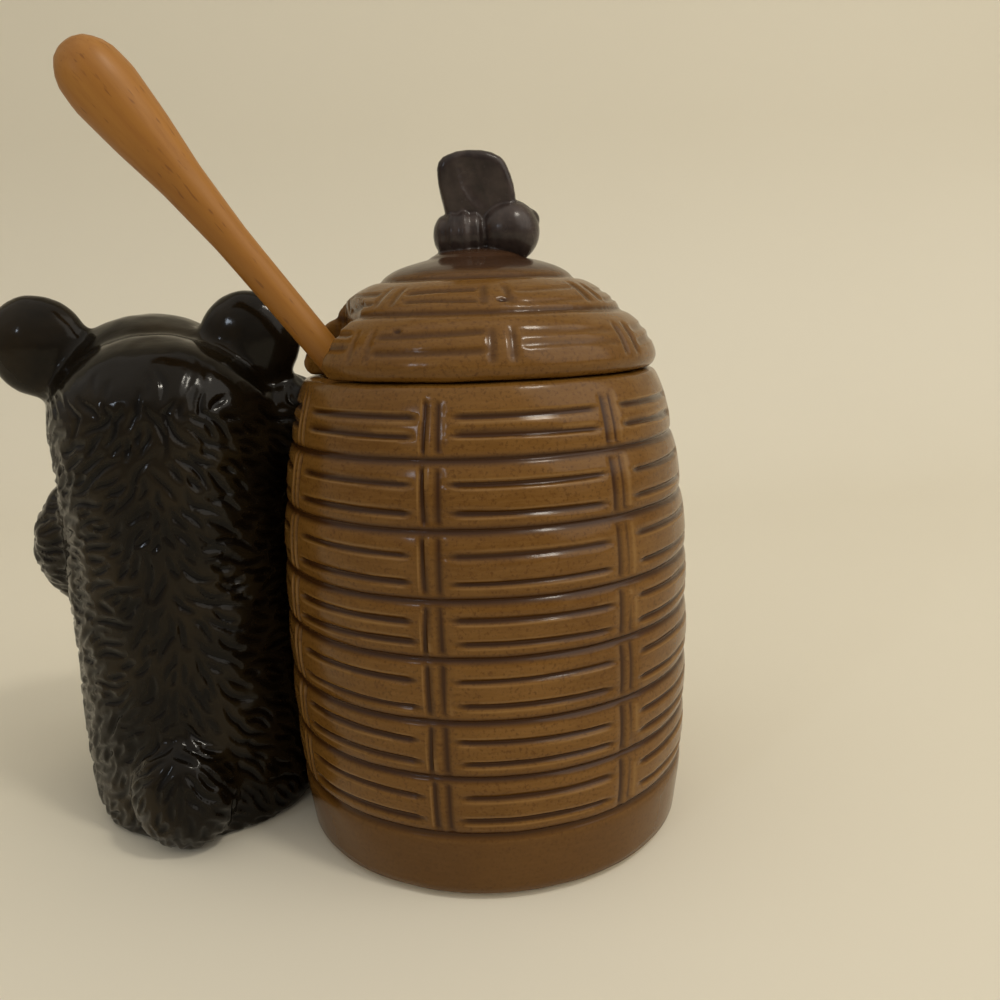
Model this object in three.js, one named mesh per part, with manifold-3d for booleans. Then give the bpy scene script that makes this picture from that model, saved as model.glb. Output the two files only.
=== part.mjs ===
// Honey pot: a woven bee hive with a bear sitting against its side, a lift-off lid whose knob
// is a bee, and a turned wooden honey dipper that stands in the lid's notch.
// Millimetres, +Z up. The origin is the centre of the hive's flat foot, the hive's axis is +Z,
// the bear sits on the -X side and faces +Y.

import * as THREE from 'three';
import { mergeVertices } from 'three/addons/utils/BufferGeometryUtils.js';
import Module from 'manifold-3d';

const wasm = await Module();
wasm.setup();

// Fits
const seat_gap = 0.3;
const lid_clearance = 1.2;
const overrun = 4;

// Hive pot
const pot_height = 97.4;
const foot_radius = 41;
const foot_height = 14.3;
const foot_edge = 1.4;
const belly_radius = 43.6;
const belly_height = 43;
const outline_power = 2.7;
const mouth_radius = 32.4;
const rim_thickness = 2.8;
const shoulder_step = 1.8;
const mouth_land = 2;
const throat_height = 5;
const pot_wall = 4.2;
const floor_thickness = 5;
const floor_round = 4;
const coil_groove = 0.9;
// Where each of the seven coils ends, as shares of the way from the foot band to the rim
const coil_end_shares = [0, 0.143, 0.276, 0.421, 0.551, 0.699, 0.845, 1];

// Weave on hive and lid
const panel_count = 8;
const pair_spacing = 2.8;
const slit_width = 1.2;
const slit_depth = 0.9;
const pot_weave_turn = THREE.MathUtils.degToRad(33.3);
const lid_weave_turn = THREE.MathUtils.degToRad(5);
const columns_between_pairs = 3;
const coil_row_shares = [0, 0.16, 0.5, 0.84];
const coil_roundness = 3;

// Facets of the round forms
const wide_sides = 48;
const bore_sides = 32;
const body_sides = 24;
const skull_sides = 20;
const stick_sides = 16;
const ball_sides = 14;
const small_sides = 10;
const limb_steps = 6;
const half_ball_rows = 3;
const half_ball_start_share = 0.25;
const ball_rows_share = 0.6;

// Lid
const lid_overhang = 2;
const lid_groove = 1.3;
const dome_height = 23.4;
const dome_pinch = 1.9;
const lid_wall = 4.6;
const flange_depth = 5;
const flange_thickness = 2.5;
const lid_coil_end_shares = [0, 0.345, 0.59, 0.83];
const knob_seat_radius = 9;
const notch_turn = THREE.MathUtils.degToRad(200.1);
const notch_clearance = 5.4;
const notch_past_flange = 2.5;
const notch_round = 2;

// Dipper
const handle_radius = 3.1;
const handle_reach = 73;
const grip_radius = 6.6;
const dipper_tilt = THREE.MathUtils.degToRad(36.8);
const dipper_turn = THREE.MathUtils.degToRad(196);
const head_radius = 10;
const head_length = 29;
const head_disc_count = 7;
const head_slot_depth = 3.6;
const head_end_radius = 1.6;
const disc_from_share = 0.1;
const disc_to_share = 0.62;
const tip_gap = 0.4;
// Places along the stick from the head's middle, and how far the handle has swollen to its grip
const handle_swell_shares = [
  [0.18, 0], [0.5, 0], [0.62, 0.035], [0.75, 0.106], [0.83, 0.372], [0.89, 0.761], [0.945, 1],
  [0.975, 0.841], [0.993, 0.221],
];

// Bee on the lid
const bee_abdomen_length = 10.4;
const bee_abdomen_radius = 5.1;
const bee_abdomen_lap = 1.6;
const bee_rib_count = 4;
const bee_rib_depth = 0.6;
const bee_head_radius = 6.4;
const bee_rise = 4.5;
const bee_wing_width = 16.2;
const bee_wing_height = 13;
const bee_wing_thickness = 3.8;
const bee_wing_forward = 0.9;
const bee_wing_spread = THREE.MathUtils.degToRad(9);

// Bear
const bear_width = 52;
const bear_depth = 50;
const bear_nape_height = 107;
const bear_height = 111.4;
const bear_lap = 2.6;
const bear_forward = 5;
const skull_width = 49;
const skull_depth = 44;
const skull_height = 49;
const skull_aside = 5;
const skull_forward = 6;
const ear_radius = 11;
const ear_thickness = 12;
const ear_cup_depth = 4;
const ear_cup_radius = 7.2;
const ear_angle = THREE.MathUtils.degToRad(38.5);
const ear_rise = 4.4;
const muzzle_width = 21;
const muzzle_length = 15;
const muzzle_height = 17;
const nose_width = 8;
const nose_height = 5.4;
const muzzle_rise = THREE.MathUtils.degToRad(-16);
const nose_rise = THREE.MathUtils.degToRad(32);
const eye_radius = 2;
const eye_spacing = 17;
const eye_rise = THREE.MathUtils.degToRad(12);
const arm_radius = 9.5;
const paw_radius = 8;
const leg_radius = 11;
const sole_width = 17.8;
const sole_height = 21;
const sole_thickness = 9;
const tail_width = 22;
const tail_height = 24;
const tail_thickness = 17;

// Oval rings of the torso, from its flat seat over belly and shoulders to the nape: each ring's
// height, half width, half depth and shift forwards as shares of the torso's own
const torso_ring_shares = [
  [0, 0.9, 0.9, 0], [0.02, 0.94, 0.94, 0], [0.07, 0.97, 0.98, 0.01], [0.2, 1, 1.04, 0.04],
  [0.38, 1, 1.06, 0.06], [0.54, 0.98, 1.02, 0.02], [0.7, 0.95, 0.95, -0.06],
  [0.8, 0.93, 0.86, -0.14], [0.88, 0.84, 0.74, -0.24], [0.94, 0.66, 0.54, -0.3],
  [0.98, 0.4, 0.32, -0.33], [1, 0.15, 0.12, -0.34],
];
// Places on the bear: shares of the torso's half width, half depth and height
const arm_right_path_shares = [
  [0.35, 0.1, 0.68], [0.9, 0.1, 0.81], [1.05, 0.85, 0.7], [1.35, 1.4, 0.6],
];
const arm_left_path_shares = [
  [-0.55, -0.05, 0.73], [-0.95, 0.15, 0.57], [-0.9, 0.8, 0.41], [-0.55, 1.2, 0.35],
];
const leg_path_shares = [[0.4, 0.2], [0.66, 0.75], [0.6, 1.25]];
const foot_place_shares = [0.6, 1.6];
const tail_place_shares = [0.08, -0.96];
// How thick a limb is along its path, as shares of its radius
const limb_root_share = 0.7;
const limb_swell_share = 1.15;
const limb_wrist_share = 0.85;

const amber_glaze = new THREE.Color(0.42, 0.24, 0.08);
const black_glaze = new THREE.Color(0.035, 0.032, 0.028);
const bee_glaze = new THREE.Color(0.12, 0.085, 0.07);
const beech_wood = new THREE.Color(0.82, 0.5, 0.2);

// Sizes that follow from those above
const mouth_outer_radius = mouth_radius + rim_thickness;
const shoulder_radius = mouth_outer_radius + shoulder_step;
const lid_base = pot_height + seat_gap;
const lid_radius = mouth_outer_radius + lid_overhang;
const lid_top = lid_base + dome_height;
const notch_width = 2 * (handle_radius + notch_clearance);
const hollow_radius = mouth_radius - lid_clearance - flange_thickness;
const notch_end = hollow_radius - notch_past_flange;
const full_turn = 2 * Math.PI;
const quarter_turn = Math.PI / 2;
const up = new THREE.Vector3(0, 0, 1);
const bee_floor = lid_top + seat_gap;
const bee_height = lid_top + bee_rise;
const bee_wing_root = bee_height + bee_head_radius / 3;
const leg_low = leg_radius * limb_swell_share + seat_gap;

// Solids from geometry and back

function solidOf(geometry) {
  const bare = geometry.clone();
  bare.deleteAttribute('normal');
  bare.deleteAttribute('uv');
  const merged = mergeVertices(bare);
  const corners = Array.from(merged.index.array);
  const kept = [];
  for (let i = 0; i < corners.length; i += 3) {
    const [a, b, c] = corners.slice(i, i + 3);
    if (a !== b && b !== c && c !== a) kept.push(a, b, c);
  }
  return new wasm.Manifold(new wasm.Mesh({
    numProp: 3,
    vertProperties: new Float32Array(merged.attributes.position.array),
    triVerts: new Uint32Array(kept),
  }));
}

function geometryOf(solid) {
  const mesh = solid.getMesh();
  const geometry = new THREE.BufferGeometry();
  geometry.setAttribute('position', new THREE.BufferAttribute(mesh.vertProperties, 3));
  geometry.setIndex(new THREE.BufferAttribute(mesh.triVerts, 1));
  geometry.computeVertexNormals();
  return geometry;
}

// Basic forms

function ringPoint(radius, angle, height) {
  return new THREE.Vector3(radius * Math.cos(angle), radius * Math.sin(angle), height);
}

// Closed skin over a stack of rings that all have the same number of points.
function loft(rings) {
  const sides = rings[0].length;
  const points = rings.flat();
  const ends = [rings[0], rings.at(-1)].map((ring) => {
    const centre = new THREE.Vector3();
    ring.forEach((point) => centre.add(point));
    return centre.divideScalar(sides);
  });
  const bottom = points.push(ends[0]) - 1;
  const top = points.push(ends[1]) - 1;
  const last = (rings.length - 1) * sides;
  const corners = [];
  for (let side = 0; side < sides; side += 1) {
    const next = (side + 1) % sides;
    for (let row = 0; row < last; row += sides) {
      const upper = row + sides;
      corners.push(row + side, row + next, upper + next);
      corners.push(row + side, upper + next, upper + side);
    }
    corners.push(bottom, next, side);
    corners.push(last + side, last + next, top);
  }
  const geometry = new THREE.BufferGeometry().setFromPoints(points);
  geometry.setIndex(corners);
  return geometry;
}

// Turned form about Z: its outline starts and ends on the axis and runs upwards.
function turned(outline, segments) {
  const points = outline.map(([radius, height]) => new THREE.Vector2(radius, height));
  return new THREE.LatheGeometry(points, segments).rotateX(quarter_turn);
}

function ellipsoid(centre, size, grow = 0, sides = ball_sides) {
  const rows = Math.round(sides * ball_rows_share);
  const form = new THREE.SphereGeometry(1, sides, rows).rotateX(quarter_turn);
  form.scale(size.x / 2 + grow, size.y / 2 + grow, size.z / 2 + grow);
  return form.translate(centre.x, centre.y, centre.z);
}

// Tapering limb along a smooth path, with a half ball at both ends.
function limb(path, radii, grow = 0) {
  const sides = small_sides;
  const steps = limb_steps;
  const curve = new THREE.CatmullRomCurve3(path);
  const frames = curve.computeFrenetFrames(steps);
  const radiusAt = (share) => {
    const place = share * (radii.length - 1);
    const index = Math.min(Math.floor(place), radii.length - 2);
    return THREE.MathUtils.lerp(radii[index], radii[index + 1], place - index) + grow;
  };
  const ring = (step, size, along) => Array.from({ length: sides }, (_, side) => {
    const angle = full_turn * side / sides;
    return curve.getPointAt(step / steps)
      .addScaledVector(frames.tangents[step], along)
      .addScaledVector(frames.normals[step], size * Math.cos(angle))
      .addScaledVector(frames.binormals[step], size * Math.sin(angle));
  });
  const half_ball = Array.from({ length: half_ball_rows }, (_, row) => (
    quarter_turn * (row + half_ball_start_share) / half_ball_rows
  ));
  const rings = half_ball.map((angle) => (
    ring(0, radiusAt(0) * Math.sin(angle), -radiusAt(0) * Math.cos(angle))
  ));
  for (let step = 0; step <= steps; step += 1) rings.push(ring(step, radiusAt(step / steps), 0));
  for (const angle of half_ball.reverse()) {
    rings.push(ring(steps, radiusAt(1) * Math.sin(angle), radiusAt(1) * Math.cos(angle)));
  }
  return loft(rings);
}

// Hive outline

function outlineRadius(height) {
  const above = height > belly_height;
  const end_radius = above ? shoulder_radius : foot_radius;
  const span = above ? pot_height - belly_height : belly_height;
  const share = Math.min(Math.abs(height - belly_height) / span, 1);
  return belly_radius - (belly_radius - end_radius) * share ** outline_power;
}

function cavityRadius(height) {
  return outlineRadius(height) - pot_wall;
}

// The hive without its coils, and above it the lid's way up: what the bear is cut back from.
function hiveKeepOut() {
  const steps = 14;
  const outline = [[0, -overrun], [foot_radius + seat_gap, -overrun]];
  for (let step = 0; step <= steps; step += 1) {
    const height = pot_height * step / steps;
    outline.push([outlineRadius(height) + seat_gap, height]);
  }
  const lift_radius = lid_radius + lid_clearance;
  const way_top = pot_height + bear_height;
  outline.push([lift_radius, pot_height + overrun], [lift_radius, way_top], [0, way_top]);
  return solidOf(turned(outline, wide_sides));
}

// Weave: every panel starts with a pair of upright slits, which form a standing rib.

function weaveColumns(turn, radius) {
  const half_pair = pair_spacing / 2 / radius;
  const half_slit = slit_width / 2 / radius;
  const panel = full_turn / panel_count;
  const plain = panel - 2 * (half_pair + half_slit);
  const columns = [];
  for (let index = 0; index < panel_count; index += 1) {
    const middle = turn + index * panel;
    for (const slit of [middle - half_pair, middle + half_pair]) {
      columns.push({ angle: slit - half_slit, depth: 0 });
      columns.push({ angle: slit, depth: slit_depth });
      columns.push({ angle: slit + half_slit, depth: 0 });
    }
    for (let step = 1; step < columns_between_pairs; step += 1) {
      const share = step / columns_between_pairs;
      columns.push({ angle: middle + half_pair + half_slit + plain * share, depth: 0 });
    }
  }
  return columns;
}

function coilBulge(share) {
  return 1 - Math.abs(2 * share - 1) ** coil_roundness;
}

function wovenRing(columns, radius, height, carved) {
  return columns.map(({ angle, depth }) => ringPoint(radius - carved * depth, angle, height));
}

// Hive pot

function hivePot() {
  const columns = weaveColumns(pot_weave_turn, belly_radius);
  const rings = [
    wovenRing(columns, foot_radius - foot_edge, 0, 0),
    wovenRing(columns, outlineRadius(foot_edge), foot_edge, 0),
    wovenRing(columns, outlineRadius(foot_height - coil_groove), foot_height - coil_groove, 0),
  ];
  for (let coil = 1; coil < coil_end_shares.length; coil += 1) {
    const [from, to] = [coil_end_shares[coil - 1], coil_end_shares[coil]];
    for (const share of coil_row_shares) {
      const rise = THREE.MathUtils.lerp(from, to, share);
      const height = THREE.MathUtils.lerp(foot_height, pot_height, rise);
      const bulge = coilBulge(share);
      const radius = outlineRadius(height) - coil_groove * (1 - bulge);
      rings.push(wovenRing(columns, radius, height, share > 0 ? 1 : 0));
    }
  }
  rings.push(wovenRing(columns, mouth_outer_radius, pot_height, 0));

  const cavity = [[0, floor_thickness]];
  const lowest = floor_thickness + floor_round;
  const highest = pot_height - throat_height;
  cavity.push([cavityRadius(lowest) - floor_round, floor_thickness]);
  const steps = 8;
  for (let step = 0; step <= steps; step += 1) {
    const height = THREE.MathUtils.lerp(lowest, highest, step / steps);
    cavity.push([cavityRadius(height), height]);
  }
  cavity.push([mouth_radius, pot_height - mouth_land]);
  cavity.push([mouth_radius, pot_height + overrun], [0, pot_height + overrun]);
  return solidOf(loft(rings)).subtract(solidOf(turned(cavity, bore_sides)));
}

// Lid

// Point of the dome's outline: an ellipse that is drawn in a little halfway up.
function domePoint(share, inset) {
  const angle = share * quarter_turn;
  const pinch = dome_pinch * Math.sin(2 * angle) ** 2;
  return {
    radius: (lid_radius - inset) * Math.cos(angle) - pinch,
    height: lid_base + (dome_height - inset) * Math.sin(angle),
  };
}

function notchCutter() {
  const half = notch_width / 2;
  const outer = lid_radius + overrun;
  const plan = new THREE.Shape();
  plan.moveTo(outer, -half);
  plan.lineTo(outer, half);
  plan.lineTo(notch_end + notch_round, half);
  plan.absarc(notch_end + notch_round, half - notch_round, notch_round, quarter_turn, Math.PI);
  plan.absarc(notch_end + notch_round, notch_round - half, notch_round, Math.PI, 3 * quarter_turn);
  plan.closePath();
  const low = lid_base - flange_depth - overrun;
  const cutter = new THREE.ExtrudeGeometry(plan, {
    depth: lid_top + overrun - low, bevelEnabled: false, curveSegments: 3,
  });
  return solidOf(cutter.translate(0, 0, low).rotateZ(notch_turn));
}

function lid() {
  const columns = weaveColumns(lid_weave_turn, lid_radius);
  const rings = [];
  for (let coil = 1; coil < lid_coil_end_shares.length; coil += 1) {
    const [from, to] = [lid_coil_end_shares[coil - 1], lid_coil_end_shares[coil]];
    const woven = coil < lid_coil_end_shares.length - 1;
    for (const share of coil_row_shares) {
      const inset = lid_groove * (1 - coilBulge(share));
      const { radius, height } = domePoint(THREE.MathUtils.lerp(from, to, share), inset);
      rings.push(wovenRing(columns, radius, height, woven && share > 0 ? 1 : 0));
    }
  }
  rings.push(wovenRing(columns, knob_seat_radius, lid_top, 0));

  const hollow_height = dome_height - lid_wall;
  const hollow = [[0, lid_base - flange_depth - overrun]];
  hollow.push([hollow_radius, lid_base - flange_depth - overrun]);
  const steps = 6;
  for (let step = 0; step <= steps; step += 1) {
    const angle = quarter_turn * step / steps;
    hollow.push([hollow_radius * Math.cos(angle), lid_base + hollow_height * Math.sin(angle)]);
  }
  const flange_radius = hollow_radius + flange_thickness;
  const flange = [
    [0, lid_base - flange_depth], [flange_radius, lid_base - flange_depth],
    [flange_radius, lid_base + flange_thickness], [0, lid_base + flange_thickness],
  ];
  return solidOf(loft(rings))
    .add(solidOf(turned(flange, bore_sides)))
    .subtract(solidOf(turned(hollow, bore_sides)))
    .subtract(notchCutter());
}

// Dipper: a straight turned stick. Its axis lies in an upright plane through the hive's axis,
// just clear of the mouth's edge, and its head comes to rest against the far wall.

const stick_sine = Math.sin(dipper_tilt);
const stick_cosine = Math.cos(dipper_tilt);
const stick_offset = handle_radius + seat_gap;
const stick_out = mouth_radius - stick_offset * stick_cosine;
const stick_height = pot_height + stick_offset * stick_sine;
const stick_axis = ringPoint(stick_sine, dipper_turn, stick_cosine);

function headDepth() {
  const half = head_length / 2;
  const aside = Math.hypot(half * stick_sine, head_radius * stick_cosine);
  const down = Math.hypot(half * stick_cosine, head_radius * stick_sine);
  let [near, far] = [0, pot_height + mouth_radius];
  for (let halving = 0; halving < wide_sides; halving += 1) {
    const middle = (near + far) / 2;
    const across = middle * stick_sine - stick_out + aside;
    const height = stick_height - middle * stick_cosine;
    const in_wall = across > cavityRadius(height) - tip_gap;
    if (in_wall || height - down < floor_thickness + tip_gap) far = middle;
    else near = middle;
  }
  return near;
}

const head_depth = headDepth();

function dipper() {
  const half = head_length / 2;
  const pitch = head_length / head_disc_count;
  const roundRadius = (along) => head_radius * Math.sqrt(Math.max(1 - (along / half) ** 2, 0));
  const outline = [[0, -half]];
  for (let disc = 0; disc < head_disc_count; disc += 1) {
    const start = -half + disc * pitch;
    for (const share of [disc_from_share, disc_to_share]) {
      const along = start + share * pitch;
      outline.push([Math.max(roundRadius(along), head_end_radius), along]);
    }
    if (disc === head_disc_count - 1) break;
    for (const share of [disc_to_share, 1]) {
      const along = start + share * pitch;
      outline.push([Math.max(roundRadius(along) - head_slot_depth, handle_radius), along]);
    }
  }
  const reach = head_depth + handle_reach;
  for (const [along_share, swell_share] of handle_swell_shares) {
    const radius = THREE.MathUtils.lerp(handle_radius, grip_radius, swell_share);
    outline.push([radius, reach * along_share]);
  }
  outline.push([0, reach]);
  const form = turned(outline, stick_sides);
  const turn = new THREE.Quaternion().setFromUnitVectors(up, stick_axis);
  const start = ringPoint(stick_out, dipper_turn, stick_height)
    .addScaledVector(stick_axis, -head_depth);
  return solidOf(form.applyQuaternion(turn).translate(start.x, start.y, start.z));
}

// Bee

// Everything under the bee's flat seat, so that it sits on the lid.
function belowBee() {
  const reach = lid_radius;
  const block = new THREE.BoxGeometry(2 * reach, 2 * reach, reach);
  return solidOf(block.translate(0, 0, bee_floor - reach / 2));
}

function beeHeadCentre() {
  return new THREE.Vector3(bee_head_radius + seat_gap, 0, bee_height);
}

function beeHead(grow = 0) {
  const size = new THREE.Vector3().setScalar(2 * bee_head_radius);
  return solidOf(ellipsoid(beeHeadCentre(), size, grow));
}

function beeAbdomen(grow = 0) {
  const length = bee_abdomen_length;
  const outline = [[0, -grow]];
  const steps = 4 * bee_rib_count;
  for (let step = 1; step < steps; step += 1) {
    const share = step / steps;
    const rib = bee_rib_depth * (1 + Math.cos(bee_rib_count * full_turn * share)) / 2;
    const round = Math.sqrt(Math.sin(Math.PI * share));
    outline.push([(bee_abdomen_radius - rib) * round + grow, length * share]);
  }
  outline.push([0, length + grow]);
  const form = turned(outline, ball_sides).rotateY(-quarter_turn);
  return solidOf(form.translate(bee_abdomen_lap, 0, bee_height));
}

function beeWing(side) {
  const half = bee_wing_width / 2;
  const outline = new THREE.Shape();
  outline.moveTo(-half, 0);
  outline.bezierCurveTo(-half, bee_wing_height, -half, bee_wing_height, 0, bee_wing_height);
  outline.bezierCurveTo(half, bee_wing_height, half, bee_wing_height / 2, half, 0);
  outline.closePath();
  const bevel = bee_wing_thickness / 3;
  const form = new THREE.ExtrudeGeometry(outline, {
    depth: bee_wing_thickness - 2 * bevel,
    bevelSize: bevel,
    bevelThickness: bevel,
    bevelOffset: -bevel,
    bevelSegments: 1,
    curveSegments: 6,
  });
  form.translate(0, 0, bevel + seat_gap / 2).rotateX(quarter_turn);
  if (side > 0) form.rotateZ(Math.PI);
  form.rotateX(-side * bee_wing_spread);
  return solidOf(form.translate(bee_wing_forward, 0, bee_wing_root));
}

function beeWings() {
  const body = beeHead(seat_gap).add(beeAbdomen(seat_gap));
  return [-1, 1].map((side) => beeWing(side).subtract(body));
}

// Bear

const torso_centre = new THREE.Vector3(
  -(belly_radius + bear_width / 2 - bear_lap), bear_forward, 0,
);
const skull_centre = new THREE.Vector3(
  torso_centre.x - skull_aside, torso_centre.y + skull_forward, bear_height - skull_height / 2,
);
const skull_size = new THREE.Vector3(skull_width, skull_depth, skull_height);

// Point whose place is given by shares of the torso's half width, half depth and height.
function onBear([across_share, forward_share, rise_share]) {
  return new THREE.Vector3(
    torso_centre.x + across_share * bear_width / 2,
    torso_centre.y + forward_share * bear_depth / 2,
    rise_share * bear_nape_height,
  );
}

// The same with a height of its own; the side is 1 for the hive's side and -1 for the other.
function besideBear([across_share, forward_share], side, height) {
  return onBear([side * across_share, forward_share, 0]).setZ(height);
}

function torso(grow = 0) {
  const rings = torso_ring_shares.map(([rise, width, depth, forward]) => {
    const centre = onBear([0, forward, rise]);
    return Array.from({ length: body_sides }, (_, side) => {
      const angle = full_turn * side / body_sides;
      return new THREE.Vector3(
        centre.x + (width * bear_width / 2 + grow) * Math.cos(angle),
        centre.y + (depth * bear_depth / 2 + grow) * Math.sin(angle),
        centre.z + (rise > 0 ? grow : 0),
      );
    });
  });
  return solidOf(loft(rings));
}

function skull(grow = 0) {
  return solidOf(ellipsoid(skull_centre, skull_size, grow, skull_sides));
}

// Point on the skull's surface, by its turn from straight ahead and its rise.
function onSkull(turn, rise) {
  const level = Math.cos(rise);
  return new THREE.Vector3(
    skull_centre.x + skull_width / 2 * level * Math.sin(turn),
    skull_centre.y + skull_depth / 2 * level * Math.cos(turn),
    skull_centre.z + skull_height / 2 * Math.sin(rise),
  );
}

function ear(side, grow = 0) {
  const reach = skull_width / 2 + ear_rise;
  const centre = new THREE.Vector3(
    skull_centre.x + side * reach * Math.cos(ear_angle),
    torso_centre.y,
    skull_centre.z + reach * Math.sin(ear_angle),
  );
  const size = new THREE.Vector3(2 * ear_radius, ear_thickness, 2 * ear_radius);
  const cup_size = new THREE.Vector3(2 * ear_cup_radius, 2 * ear_cup_depth, 2 * ear_cup_radius);
  const cup_centre = centre.clone().setY(centre.y + ear_thickness / 2);
  return solidOf(ellipsoid(centre, size, grow))
    .subtract(solidOf(ellipsoid(cup_centre, cup_size, -grow, small_sides)))
    .subtract(skull(seat_gap));
}

const muzzle_centre = onSkull(0, muzzle_rise);
const muzzle_size = new THREE.Vector3(muzzle_width, 2 * muzzle_length, muzzle_height);

function muzzle(grow = 0) {
  return solidOf(ellipsoid(muzzle_centre, muzzle_size, grow));
}

function nose() {
  const centre = muzzle_centre.clone();
  centre.y += muzzle_length * Math.cos(nose_rise);
  centre.z += muzzle_height / 2 * Math.sin(nose_rise);
  const size = new THREE.Vector3(nose_width, nose_height, nose_height);
  return solidOf(ellipsoid(centre, size, 0, small_sides)).subtract(muzzle(seat_gap));
}

function eye(side) {
  const turn = Math.asin(eye_spacing / skull_width);
  const centre = onSkull(side * turn, eye_rise);
  const size = new THREE.Vector3().setScalar(2 * eye_radius);
  return solidOf(ellipsoid(centre, size, 0, small_sides)).subtract(skull(seat_gap));
}

function arm(path_shares) {
  const radii = [
    arm_radius * limb_root_share, arm_radius * limb_swell_share, arm_radius * limb_wrist_share,
    paw_radius,
  ];
  return solidOf(limb(path_shares.map(onBear), radii));
}

function leg(side, grow = 0) {
  const path = leg_path_shares.map((shares) => besideBear(shares, side, leg_low));
  const radii = [leg_radius, leg_radius * limb_swell_share, leg_radius * limb_wrist_share];
  return solidOf(limb(path, radii, grow));
}

function foot(side) {
  const centre = besideBear(foot_place_shares, side, sole_height / 2 + seat_gap);
  const size = new THREE.Vector3(sole_width, sole_thickness, sole_height);
  return solidOf(ellipsoid(centre, size));
}

function tail() {
  const centre = besideBear(tail_place_shares, 1, tail_height / 2 + seat_gap);
  const size = new THREE.Vector3(tail_width, tail_thickness, tail_height);
  return solidOf(ellipsoid(centre, size));
}

// Assembly

const group = new THREE.Group();

function addPiece(name, solid, colour, roughness) {
  const material = new THREE.MeshStandardMaterial({ color: colour, roughness, metalness: 0 });
  const mesh = new THREE.Mesh(geometryOf(solid), material);
  mesh.name = name;
  group.add(mesh);
}

const glazed = 0.12;
const satin = 0.45;
const keep_out = hiveKeepOut();
const torso_keep_out = torso(seat_gap);
const skull_keep_out = skull(seat_gap);

addPiece('hive_pot', hivePot(), amber_glaze, glazed);
addPiece('lid', lid(), amber_glaze, glazed);
addPiece('dipper', dipper(), beech_wood, satin);

const bee_keep_out = belowBee();
const bee_body = beeAbdomen().subtract(beeHead(seat_gap)).subtract(bee_keep_out);
addPiece('bee_abdomen', bee_body, bee_glaze, glazed);
addPiece('bee_head', beeHead().subtract(bee_keep_out), bee_glaze, glazed);
const [wing_back, wing_front] = beeWings();
addPiece('bee_wing_back', wing_back, bee_glaze, glazed);
addPiece('bee_wing_front', wing_front, bee_glaze, glazed);

addPiece('bear_torso', torso().subtract(keep_out).subtract(skull_keep_out), black_glaze, glazed);
addPiece('bear_head', skull().subtract(keep_out), black_glaze, glazed);
const ear_right = ear(1).subtract(torso_keep_out).subtract(keep_out);
addPiece('bear_ear_right', ear_right, black_glaze, glazed);
addPiece('bear_ear_left', ear(-1).subtract(torso_keep_out), black_glaze, glazed);
const snout = muzzle().subtract(skull_keep_out).subtract(torso_keep_out);
addPiece('bear_muzzle', snout, black_glaze, glazed);
addPiece('bear_nose', nose(), black_glaze, glazed);
addPiece('bear_eye_right', eye(1), black_glaze, glazed);
addPiece('bear_eye_left', eye(-1), black_glaze, glazed);

const body_keep_out = torso_keep_out.add(skull_keep_out).add(keep_out);
const arm_right = arm(arm_right_path_shares).subtract(body_keep_out).subtract(ear(1, seat_gap));
addPiece('bear_arm_right', arm_right, black_glaze, glazed);
addPiece('bear_arm_left', arm(arm_left_path_shares).subtract(body_keep_out), black_glaze, glazed);
for (const [side, name] of [[1, 'right'], [-1, 'left']]) {
  addPiece(`bear_leg_${name}`, leg(side).subtract(body_keep_out), black_glaze, glazed);
  addPiece(`bear_foot_${name}`, foot(side).subtract(leg(side, seat_gap)), black_glaze, glazed);
}
addPiece('bear_tail', tail().subtract(torso_keep_out), black_glaze, glazed);

export default group;
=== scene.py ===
# %% [markdown]
# A ceramic honey pot: a woven bee hive with a black bear at its side, a lid with a bee for a
# knob, and a wooden dipper. The imported model gives every piece its place and size in metres.
# This lesson makes the fine surfaces over it: carving, fur, glaze and wood. The imported solids
# stay as they are, and each one that a new piece stands for is hidden.

# %% Load the imported model
import math
import random

import bpy
import numpy as np
from mathutils import Matrix, Vector, kdtree


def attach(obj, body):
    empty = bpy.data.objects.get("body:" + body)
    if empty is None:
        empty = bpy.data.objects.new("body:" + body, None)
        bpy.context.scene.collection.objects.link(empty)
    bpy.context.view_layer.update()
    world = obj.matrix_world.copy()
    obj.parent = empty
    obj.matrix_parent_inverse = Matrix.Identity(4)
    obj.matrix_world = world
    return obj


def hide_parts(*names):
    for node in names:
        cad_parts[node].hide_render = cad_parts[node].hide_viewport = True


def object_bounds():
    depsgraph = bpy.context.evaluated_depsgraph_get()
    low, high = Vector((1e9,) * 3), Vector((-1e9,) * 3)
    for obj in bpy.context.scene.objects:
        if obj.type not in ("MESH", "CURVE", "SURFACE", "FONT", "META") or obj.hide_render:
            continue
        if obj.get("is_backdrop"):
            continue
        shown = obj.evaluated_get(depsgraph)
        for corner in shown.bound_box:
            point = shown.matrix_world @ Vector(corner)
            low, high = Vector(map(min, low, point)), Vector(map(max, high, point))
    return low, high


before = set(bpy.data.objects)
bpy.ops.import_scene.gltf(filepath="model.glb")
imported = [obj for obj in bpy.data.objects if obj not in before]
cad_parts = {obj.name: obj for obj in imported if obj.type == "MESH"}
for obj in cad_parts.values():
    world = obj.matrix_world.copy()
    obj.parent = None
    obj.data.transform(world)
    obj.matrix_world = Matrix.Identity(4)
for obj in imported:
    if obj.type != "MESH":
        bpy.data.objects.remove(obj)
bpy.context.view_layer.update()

# %% [markdown]
# Blender works in metres and the pot was measured in millimetres, so one unit turns the second
# into the first. Operators act on whatever is selected, and loading leaves things selected:
# every step starts by letting go of everything and then holding the one piece it works on.

# %% Units and selection
MM = 0.001


def let_go():
    if bpy.context.object and bpy.context.object.mode != "OBJECT":
        bpy.ops.object.mode_set(mode="OBJECT")
    bpy.ops.object.select_all(action="DESELECT")


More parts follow.
